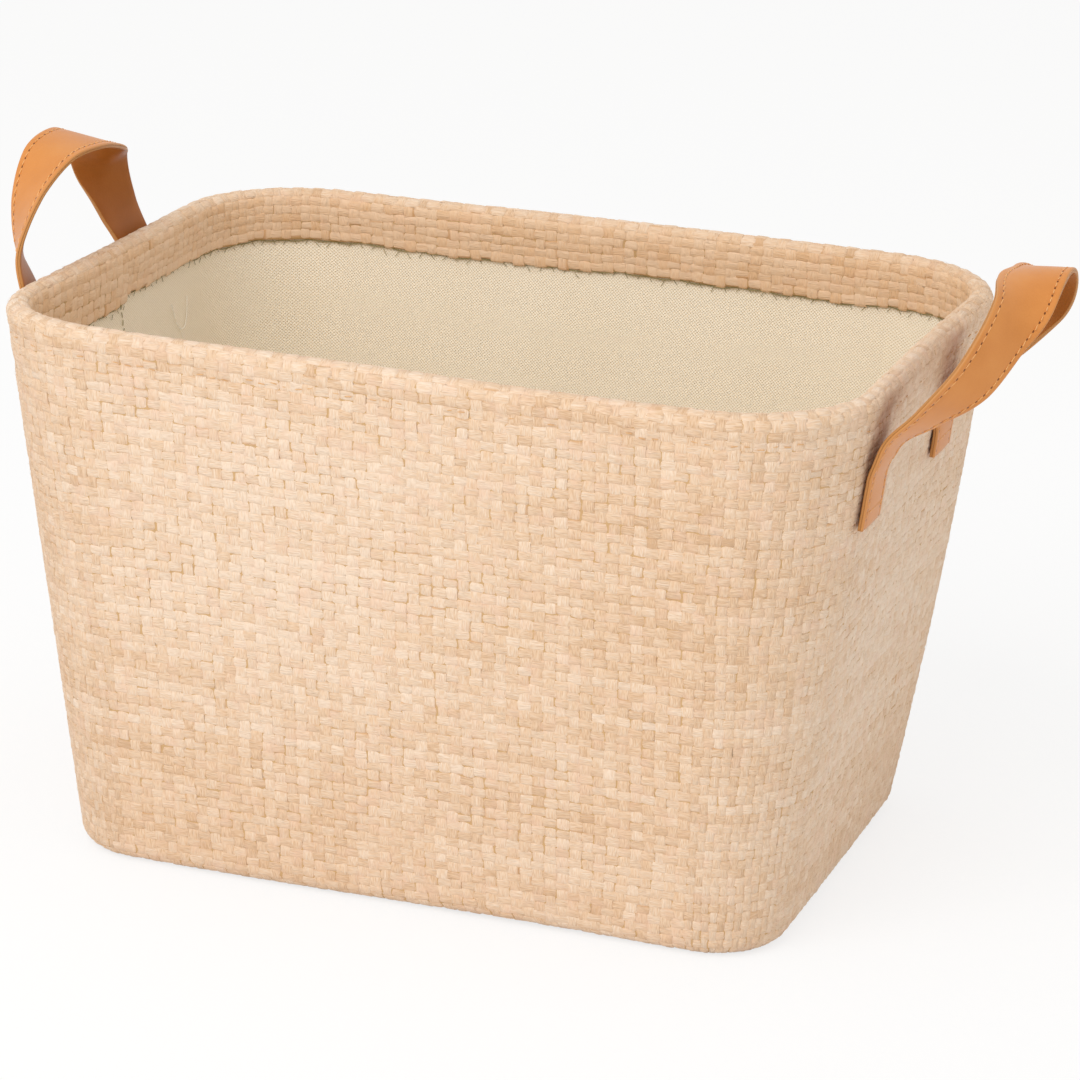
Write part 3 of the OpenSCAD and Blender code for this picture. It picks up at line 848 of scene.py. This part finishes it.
# %% [markdown]
# ## Sheets that follow the wall
# The back of the cloth, the lining and the padding are closed bands: a profile with thickness, carried
# round the outline. One function makes them all. It also writes a UV map in metres, round the bin and
# along the profile, which the embossed lining reads.

# %% Bands round the outline
def mesh_object(name, points, faces, material, uv_name, uvs):
    """A smooth mesh from points in millimetres, facing outwards; uvs holds one pair for each corner."""
    mesh = bpy.data.meshes.new(name)
    mesh.from_pydata((np.asarray(points) * MM).tolist(), [], faces)
    mesh.polygons.foreach_set("use_smooth", [True] * len(mesh.polygons))
    layer = mesh.uv_layers.new(name=uv_name)
    layer.data.foreach_set("uv", np.asarray(uvs, np.float32).ravel())
    mesh.materials.append(material)
    return count_triangles(new_object(name, mesh))


def band(name, profile, material, extra=None):
    """Carries a closed profile of inset and height round the bin; extra moves the points afterwards."""
    place = np.arange(COLUMN_COUNT, dtype=float)[:, None]
    points = settled(place, profile[:, 1], profile[:, 0])
    if extra is not None:
        points = extra(points, place, profile[:, 0])
    round_steps = np.linalg.norm(np.roll(points, -1, axis=0) - points, axis=-1).mean(1)
    down_steps = np.linalg.norm(np.roll(profile, -1, axis=0) - profile, axis=1)
    u, v = (np.concatenate([[0], np.cumsum(steps)]) for steps in (round_steps, down_steps))
    count = len(profile)
    faces, uvs = [], []
    for i in range(COLUMN_COUNT):
        j = (i + 1) % COLUMN_COUNT
        for k in range(count):
            m = (k + 1) % count
            faces.append((i * count + k, i * count + m, j * count + m, j * count + k))
            uvs += [(u[i], v[k]), (u[i], v[k + 1]), (u[i + 1], v[k + 1]), (u[i + 1], v[k])]
    return mesh_object(name, points.reshape(-1, 3), faces, material, "cloth_uv", np.array(uvs) * MM)


def thickened(line, low, high):
    """A closed profile from an open line of inset and height, between two offsets inwards."""
    along = np.gradient(line, axis=0)
    side = np.stack([along[:, 1], -along[:, 0]], -1)
    side = side / np.linalg.norm(side, axis=1)[:, None]
    return np.concatenate([line + low * side, (line + high * side)[::-1]])


def upright(inset, low, high, steps):
    """A straight line up the wall, for the middle of a layer."""
    return np.stack([np.full(steps, inset), np.linspace(low, high, steps)], -1)


# %% The back of the cloth
every = np.interp(np.linspace(0, CLOTH_LENGTH - 0.6, 190), PROFILE_LENGTH, np.arange(len(PROFILE)))
back_line = np.stack([np.interp(every, np.arange(len(PROFILE)), PROFILE[:, i]) for i in (0, 1)], -1)


def hang_hem(points, place, inset):
    """The back of the cloth hangs as deep as the hem does."""
    inside = (inset > HEM_INSET - 0.6) & (points[..., 2] > HEIGHT / 2)
    depth = rise(HEIGHT - 3 - points[..., 2], 0, HEM_DEPTH - 3) * inside
    return lowered(points, depth * hem_extra(place))


# Darker than the yarn: painted shade in the gaps between the floats.
cloth_back = band("wall_cloth_scrim", thickened(back_line, -0.44, 0.4), shaded_back, extra=hang_hem)

# %% Lining of the wall
FLOOR_TOP = 4.6
LINING_TOP = HEIGHT - 12.0
lining_line = upright(LINING_INSET + LINING / 2, FLOOR_TOP + 0.2, LINING_TOP, 48)


def ripple(points, place, inset):
    """The lining hangs in long soft ripples, deepest in the middle of the wall."""
    free = np.sin(math.pi * np.clip((points[..., 2] - FLOOR_TOP) / (LINING_TOP - FLOOR_TOP), 0, 1))
    deep = 0.5 + 0.5 * np.sin(place * 0.37 + 0.02 * points[..., 2]) * np.sin(place * 0.11 + 0.6)
    centre = points[..., :2] * [0.35, 0.25]
    inwards = centre - points[..., :2]
    inwards = inwards / np.linalg.norm(inwards, axis=-1, keepdims=True)
    return points + np.concatenate([inwards * (1.1 * free * deep)[..., None], 0 * points[..., 2:]], -1)


wall_lining = band(
    "wall_lining_cloth", thickened(lining_line, -LINING / 2, LINING / 2), lining_material, extra=ripple)


# %% Padding of the wall
padding_line = upright(PADDING_INSET + PADDING / 2 + 0.1, FOOT_RADIUS + 0.5, HEIGHT - 11.5, 40)
padding = band("wall_padding_foam", thickened(padding_line, -PADDING / 2 + 0.35, PADDING / 2 - 0.1), foam)

# %% [markdown]
# ## The floor of the bin
# The base lining is a loose plate of the same coated cloth over the board. It is made as rings that shrink
# towards the middle, so that its middle can swell a little, where the lining lifts off the board.


# %% Lining of the base
RINGS = 24


def plate(name, inset, low, high, swell, material):
    """A closed plate with the outline of the foot, swollen by swell at its middle."""
    steps = COLUMN_COUNT
    rim = outline(np.arange(steps, dtype=float), np.full(steps, FOOT_RADIUS), inset)[:, :2]
    shares = np.concatenate([np.linspace(0.0, 1.0, RINGS + 1)[1:], np.linspace(1.0, 0.0, RINGS + 1)[:-1]])
    heights = np.where(np.arange(2 * RINGS) < RINGS, high + swell * (1 - shares ** 2), low)
    rings = [
        np.concatenate([rim * share, np.full((steps, 1), z)], 1) for share, z in zip(shares, heights)]
    points = settle(np.concatenate([[[0, 0, high + swell]], *rings, [[0, 0, low]]]))
    last = len(points) - 1
    faces = [(0, 1 + i, 1 + (i + 1) % steps) for i in range(steps)]
    for k in range(2 * RINGS - 1):
        a, b = 1 + k * steps, 1 + (k + 1) * steps
        faces += [(a + i, b + i, b + (i + 1) % steps, a + (i + 1) % steps) for i in range(steps)]
    a = last - steps
    faces += [(a + i, last, a + (i + 1) % steps) for i in range(steps)]
    uvs = [points[v][:2] * MM for f in faces for v in f]
    return mesh_object(name, points, faces, material, "cloth_uv", uvs)


base_lining = plate(
    "base_lining_cloth", LINING_INSET + 0.4, low=FLOOR_TOP - LINING, high=FLOOR_TOP, swell=0.8,
    material=lining_material)
# The same darker back under the base weave: painted shade in its gaps.
base_back = plate(
    "base_cloth_scrim", SEAM_INSET + 0.2, low=MIDDLE + 0.1, high=MIDDLE + 0.6, swell=0.0, material=shaded_back)

# %% [markdown]
# ## Threads
# Stitches are short capsules, laid by the same tree as the yarn. The overlock thread is a cord along the
# raw edge of the hem, so it is swept by its own tree: the edges of a path become a curve, and a small
# circle is carried along it.

# %% A stitch, and the cord tree
STITCH_RINGS = [(-0.5, 0.35), (-0.36, 0.9), (0.36, 0.9), (0.5, 0.35)]
stitch_points = [
    (x, r * math.cos(a) / 2, r * math.sin(a) / 2)
    for x, r in STITCH_RINGS for a in np.linspace(0, 2 * math.pi, 7)[:-1]]
stitch_units = unit_collection("stitch_units", [stitch_points], tube_faces(4, 6))


CORD, given = new_tree("cord_along", Radius="Float")
path = node(CORD, "GeometryNodeMeshToCurve", {0: given["Geometry"]})
circle = node(CORD, "GeometryNodeCurvePrimitiveCircle", {"Resolution": 8, "Radius": given["Radius"]})
sweep = node(CORD, "GeometryNodeCurveToMesh", {0: path.outputs[0], 1: circle.outputs[0], "Fill Caps": True})
smooth_and_paint(CORD, sweep.outputs[0], given["Material"])


def cord_along(name, points, radius, material, closed):
    mesh = bpy.data.meshes.new(name)
    count = len(points)
    edges = [(i, (i + 1) % count) for i in range(count if closed else count - 1)]
    mesh.from_pydata((points * MM).tolist(), edges, [])
    return grown(mesh, CORD, Radius=radius * MM, Material=material)


def joined(name, *objects):
    """Joins pieces of one thread into one mesh."""
    with bpy.context.temp_override(active_object=objects[0], selected_editable_objects=list(objects)):
        bpy.ops.object.join()
    objects[0].name = objects[0].data.name = name
    return count_triangles(objects[0])


def laid_stitches(name, points, run, face, material, length, thick, wobble=0.05):
    size = np.array([length, thick, thick]) * MM
    return lay_pieces(name, stitch_units, points, run, face, size, material, wobble=wobble, seed=3)


def round_the_bin(place, z, inset):
    """Points round the settled bin, and the step from each to a place a little ahead."""
    points = settled(place, z, inset)
    return points, settled(place + 0.3, z, inset) - points


# %% Overlock thread of the hem
UP = np.array([0, 0, 1.0])
OVER_LINING = LINING_INSET + LINING + 0.9
CORD_RADIUS = 0.24
TICK_PITCH = 1.1
TICK_LENGTH = 2.8
TICK_THICKNESS = 0.3
TICK_SLANT = 0.75
cord_place = np.arange(0, COLUMN_COUNT, 0.5)
cord_points = cloth_at(cord_place, np.full(cord_place.shape, CLOTH_LENGTH - 0.1))
cord_points = lowered(cord_points, 0.2 - 0.35 * np.sin(cord_place * 2.4))
hem_cord = cord_along("hem_cord", cord_points, CORD_RADIUS, olive_thread, True)

tick_place = np.arange(0, COLUMN_COUNT - TICK_PITCH / 2, TICK_PITCH)
tick_z = HEM_EDGE - hem_extra(tick_place) - (1.2 + jitter(tick_place, 0.5))
tick_points, tick_ahead = round_the_bin(tick_place, tick_z, OVER_LINING)
tick_round = unit_vectors(tick_ahead)
tick_face = unit_vectors(np.cross(UP, tick_round))
slant = np.where(np.arange(len(tick_place)) % 2 == 0, TICK_SLANT, -TICK_SLANT)[:, None]
tick_run = unit_vectors(UP + slant * tick_round + jitter(tick_points, 0.15))
thin = np.full(tick_place.shape, TICK_THICKNESS)
tick_size = np.stack([TICK_LENGTH + jitter(thin, 0.6), thin, thin], -1)
hem_ticks = lay_pieces(
    "hem_ticks", stitch_units, tick_points, tick_run, tick_face, tick_size * MM, olive_thread, wobble=0.05)
overlock = joined("hem_overlock", hem_cord, hem_ticks)

# %% The wire of the rim
WIRE_RADIUS = 2.0
WIRE_LIFT = ROLL_RADIUS - CLOTH - WIRE_RADIUS - 0.1
wire_points = settled(cord_place, ROLL_HEIGHT + WIRE_LIFT, ROLL_RADIUS)
rim_wire = cord_along("rim_wire_ring", wire_points, WIRE_RADIUS, wire_material, True)

# %% Side seam, rim seam and base seam
SIDE_STITCH = 3.6
BASE_STITCH = 1.6
BASE_SEAM_HEIGHT = 0.45
seam_z = np.arange(FLOOR_TOP + 4, HEM_EDGE - 3, SIDE_STITCH)
seam_points = settled(SEAM_PLACE + 0.75, seam_z, OVER_LINING)
sway = 0.25 * np.sin(np.arange(len(seam_z)) * 2.0)[:, None] * np.array([0, 1.0, 0])
seam_run = unit_vectors(unit_vectors(np.gradient(seam_points, axis=0)) + sway)
side_seam = laid_stitches(
    "side_seam_thread", seam_points, seam_run, [1.0, 0, 0], olive_thread, length=2.7, thick=0.5)

groove_place = np.arange(0.5, COLUMN_COUNT, 1.0)
groove_place = groove_place[dice.uniform(size=groove_place.shape) < 0.6]
groove_z = HEIGHT - 12.6 + jitter(groove_place, 0.45)
groove_inset = 0.55 + jitter(groove_place, 0.12)
groove_points, groove_ahead = round_the_bin(groove_place, groove_z, groove_inset)
groove_run = unit_vectors(groove_ahead + jitter(groove_points, 0.06))
groove_face = unit_vectors(np.cross(groove_run, UP))
rim_seam = laid_stitches(
    "rim_seam_thread", groove_points, groove_run, groove_face, tan_thread, length=3.0, thick=0.5, wobble=0.2)

base_place = np.arange(0, COLUMN_COUNT, BASE_STITCH)
base_points, base_ahead = round_the_bin(base_place, BASE_SEAM_HEIGHT, SEAM_INSET + 0.1)
base_points[:, 2] = BASE_SEAM_HEIGHT
base_ahead[:, 2] = 0
base_seam = laid_stitches(
    "base_seam_thread", base_points, unit_vectors(base_ahead), -UP, tan_thread, length=4.6, thick=0.6)


# %% A smooth curve
def smooth_curve(points, count):
    """Catmull-Rom curve through the points, with evenly spaced results, and its length."""
    ends = np.concatenate([[2 * points[0] - points[1]], points, [2 * points[-1] - points[-2]]])
    out = []
    for i in range(len(points) - 1):
        a, b, c, d = ends[i:i + 4]
        t = np.linspace(0, 1, 40, endpoint=False)[:, None]
        out.append(0.5 * (
            2 * b + (c - a) * t + (2 * a - 5 * b + 4 * c - d) * t ** 2 + (3 * b - a - 3 * c + d) * t ** 3))
    out = np.concatenate(out + [points[-1:]])
    length = np.concatenate([[0], np.cumsum(np.linalg.norm(np.diff(out[:, :3], axis=0), axis=1))])
    even = np.linspace(0, length[-1], count)
    return np.stack([np.interp(even, length, out[:, i]) for i in range(out.shape[1])], -1), length[-1]


# %% Loose ends and fibres
# Two ends of pale thread lie on the lining of the left wall, and short fibres stand off the yarn all over.
pale_thread = thread_material("pale_thread", "F2E8D2", "FFFAF0")
fibre_material = thread_material("yarn_fibre", "E8CDA6", "FFF2DE")
FIRST_END = [(46, 203), (48, 196), (51, 191), (56, 190), (60, 194), (63, 203)]
SECOND_END = [(52, 191), (54, 184), (53, 178)]
END_RADIUS = 0.22


def on_left_lining(places):
    y, z = np.array(places, float).T
    x = -half_size(z)[..., 0] + LINING_INSET + LINING + 1.2
    return smooth_curve(settle(np.stack([x, y, z], -1)), 24)[0]


marks = [
    cord_along("thread_mark_" + str(number), on_left_lining(places), END_RADIUS, pale_thread, False)
    for number, places in enumerate((FIRST_END, SECOND_END))]
thread_marks = joined("lining_thread_ends", *marks)

HAIRS = 3600
HAIR_THICKNESS = 0.1
HAIR_LIFT = 0.85
HAIR_POINTS = [
    (x, r * math.cos(a), lift + r * math.sin(a))
    for x, lift, r in ((-0.5, 0.0, 0.5), (0.0, 1.4, 0.5), (0.5, 0.4, 0.3)) for a in (0.5, 2.6, 4.7)]
hair_units = unit_collection("hair_units", [HAIR_POINTS], tube_faces(3, 3))
hair_place = dice.uniform(0, COLUMN_COUNT, HAIRS)
hair_run = dice.uniform(14, CLOTH_LENGTH, HAIRS)
hair_points = cloth_at(hair_place, hair_run)
hair_round = cloth_at(hair_place + 0.2, hair_run) - hair_points
hair_up = cloth_at(hair_place, hair_run + 0.2) - hair_points
hair_face = unit_vectors(np.cross(hair_round, hair_up))
lean = np.where(dice.uniform(size=HAIRS) < 0.6, 0.0, 1.0)[:, None]
hair_way = unit_vectors(unit_vectors(hair_round) * (1 - lean) + unit_vectors(hair_up) * lean)
thin = np.full(HAIRS, HAIR_THICKNESS)
hair_size = np.stack([dice.uniform(1.5, 5.0, HAIRS), thin, thin], -1) * MM
fibres = lay_pieces(
    "loose_fibres", hair_units, hair_points + HAIR_LIFT * hair_face, hair_way, hair_face, hair_size,
    fibre_material, wobble=0.3, seed=5)

# %% [markdown]
# ## The straps
# Each handle is one strap of two leather layers. It is sewn flat to the wall at both ends, and between
# them it twists a quarter turn on each leg, so that the outer face looks up at the crown. Its middle line
# and the direction of its width are given at a few places and joined by a smooth curve. The section is
# rounded at its edges and dips under the two stitch rows, as sewn leather does.

# %% The line of a strap
STRAP_THICKNESS = 2.4
STRAP_STEPS = 220
TAB_HEIGHTS = (186.5, 196.0, 206.0)


def on_wall(side, y, z, stand):
    """Point over the outer face of a short wall, at width y and height z."""
    return settle(np.array([side * (half_size(np.array(z))[0] + stand), y, z], float))


def strap_frames(side, front_y, back_y, stations):
    """Middle, width direction and outward direction along a strap, and the distance travelled."""
    stand = 0.4 + STRAP_THICKNESS / 2
    first = [(on_wall(side, front_y, z, stand), (0, 1, 0)) for z in TAB_HEIGHTS]
    last = [(on_wall(side, back_y, z, stand), (0, -1, 0)) for z in TAB_HEIGHTS[::-1]]
    points, widths = (np.array(values, float) for values in zip(*first, *stations, *last))
    line, length = smooth_curve(np.concatenate([points, unit_vectors(widths)], 1), STRAP_STEPS)
    middle, across = line[:, :3], line[:, 3:]
    along = unit_vectors(np.gradient(middle, axis=0))
    across = unit_vectors(across - (across * along).sum(1)[:, None] * along)
    return middle, across, np.cross(across, along) * side, np.linspace(0, length, STRAP_STEPS)


RIGHT_STATIONS = [
    ((190.4, -79.8, 213.5), (0.01, 0.99, -0.12)),
    ((194.6, -78.6, 222.0), (0.04, 0.97, -0.22)),
    ((206.0, -75.8, 231.5), (0.12, 0.92, -0.38)),
    ((222.0, -68.3, 247.5), (0.34, 0.76, -0.55)),
    ((232.0, -49.0, 269.0), (0.55, 0.78, -0.32)),
    ((233.0, -26.0, 279.5), (0.82, 0.42, -0.02)),
    ((233.0, -3.0, 278.5), (0.95, -0.15, 0.08)),
    ((230.5, 15.0, 264.0), (0.7, -0.67, -0.25)),
    ((218.0, 26.0, 243.5), (0.35, -0.88, -0.31)),
    ((200.5, 30.5, 223.2), (0.12, -0.98, -0.16)),
]
LEFT_STATIONS = [
    ((-191.6, -67.5, 229.0), (-0.2, 0.97, -0.07)),
    ((-199.5, -64.0, 250.2), (-0.45, 0.88, 0.0)),
    ((-201.0, -53.0, 271.6), (-0.75, 0.65, -0.03)),
    ((-199.0, -36.0, 287.5), (-0.95, 0.28, 0.08)),
    ((-197.5, -13.0, 290.0), (-0.95, -0.12, 0.2)),
    ((-200.5, 9.0, 283.0), (-0.8, -0.52, 0.25)),
    ((-203.5, 25.5, 268.0), (-0.4, -0.89, 0.2)),
    ((-200.5, 35.0, 248.0), (-0.2, -0.97, 0.1)),
    ((-192.3, 40.4, 226.3), (-0.05, -0.99, 0.0)),
]
STRAPS = {
    "right": strap_frames(1, -79, 31.5, RIGHT_STATIONS),
    "left": strap_frames(-1, -70, 42, LEFT_STATIONS),
}
print({side: round(values[-1][-1]) for side, values in STRAPS.items()}, "mm of strap")

# %% Leather layers
HALF_SECTION = [
    (13.0, 0.1), (13.0, 0.7), (12.7, 1.05), (12.0, 1.2), (11.0, 1.16), (10.0, 0.98), (9.0, 1.16),
    (7.5, 1.26), (4.0, 1.32)]
PLAIN_HALF = [(13.0, -0.02), (13.0, -0.7), (12.7, -1.05), (12.0, -1.2), (9.0, -1.24), (4.0, -1.28)]


def whole(half, middle):
    return half + [(0.0, middle)] + [(-y, z) for y, z in half[::-1]]


OUTER_SECTION = whole(HALF_SECTION, 1.34) + [(-6, 0.1), (0, 0.1), (6, 0.1)]
INNER_SECTION = whole(PLAIN_HALF, -1.28)


def swept_strap(name, strap, section, material):
    middle, across, out, travel = strap
    section = np.array(section)
    points = middle[:, None] + across[:, None] * section[None, :, :1] + out[:, None] * section[None, :, 1:]
    faces = tube_faces(len(middle), len(section))
    uv = np.stack(np.broadcast_arrays(travel[:, None], section[None, :, 0]), -1).reshape(-1, 2) * MM
    return mesh_object(
        name, points.reshape(-1, 3), faces, material, "strap_uv", [uv[v] for f in faces for v in f])


# %% Stitches of a strap
TAB_SEAM = 7.0
TAB_STITCHES = 4
ROW_HEIGHT = 1.1
CROSS_HEIGHT = 1.28


def at_travel(strap, travel):
    """Middle, width direction and outward direction at some distances along a strap."""
    return [
        np.stack([np.interp(travel, strap[-1], values[:, i]) for i in range(3)], -1) for values in strap[:3]]


def strap_stitches(name, strap):
    """Two rows along the edges between the cross seams, and one row across each sewn end."""
    ends = (TAB_SEAM, strap[-1][-1] - TAB_SEAM)
    first, last = (math.floor(end / STITCH_PITCH) for end in ends)
    middle, across, out = at_travel(strap, (np.arange(first, last) + 0.5) * STITCH_PITCH)
    points = [middle + out * ROW_HEIGHT + across * edge * STITCH_ROW for edge in (-1, 1)]
    run = [unit_vectors(np.gradient(p, axis=0)) for p in points]
    face = [out, out]
    for end in ends:
        middle, across, out = at_travel(strap, np.full(TAB_STITCHES, end))
        offset = (np.arange(TAB_STITCHES) - (TAB_STITCHES - 1) / 2)[:, None] * STITCH_PITCH
        points.append(middle + out * CROSS_HEIGHT + across * offset)
        run.append(across)
        face.append(out)
    points, run, face = (np.concatenate(v) for v in (points, run, face))
    return laid_stitches(name, points, run, face, strap_thread, length=3.0, thick=0.62, wobble=0.06)


def bends(piece):
    """Bakes the placement of a strap piece into its mesh."""
    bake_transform(piece)


for side, strap in STRAPS.items():
    outer = swept_strap(side + "_strap", strap, OUTER_SECTION, leather)
    inner = swept_strap(side + "_strap_backing", strap, INNER_SECTION, backing)
    sewing = strap_stitches(side + "_strap_stitching", strap)
    for piece in (outer, inner, sewing):
        bends(piece)
    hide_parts(side + "_front_tab", side + "_loop", side + "_back_tab")
    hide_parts(side + "_front_tab_backing", side + "_loop_backing", side + "_back_tab_backing")
    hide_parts(side + "_tab_stitches", side + "_loop_stitches")

# %% [markdown]
# ## Bodies
# Every fixed piece rides on the bin. A soft construction solid gives way to the piece made here, and so does
# the wire; the board, whose shape is right, only gets its finish.

# %% Riding, replacing and finishing
FIXED = [
    *((piece, "woven_cloth", "outer_cloth") for piece in wall_panels),
    (base_weave, "woven_cloth", "base_cloth"),
    (cloth_back, "woven_cloth", "outer_cloth"),
    (base_back, "woven_cloth", "base_cloth"),
    (wall_lining, "coated_lining", "wall_lining"),
    (base_lining, "coated_lining", "base_lining"),
    (padding, "foam_padding", "wall_padding"),
    (overlock, "overlock_thread", "hem_overlock_thread"),
    (side_seam, "overlock_thread", "side_seam_stitches"),
    (rim_seam, "seam_thread", None),
    (base_seam, "seam_thread", "base_seam_stitches"),
    (thread_marks, "seam_thread", None),
    (fibres, "woven_cloth", None),
    (rim_wire, "steel_wire", "rim_wire"),
]
for piece, slot, stands_for in FIXED:
    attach(piece, "bin")
    if stands_for:
        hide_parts(stands_for)
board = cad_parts["base_board"]
board.data.materials.clear()
board.data.materials.append(board_fibre)
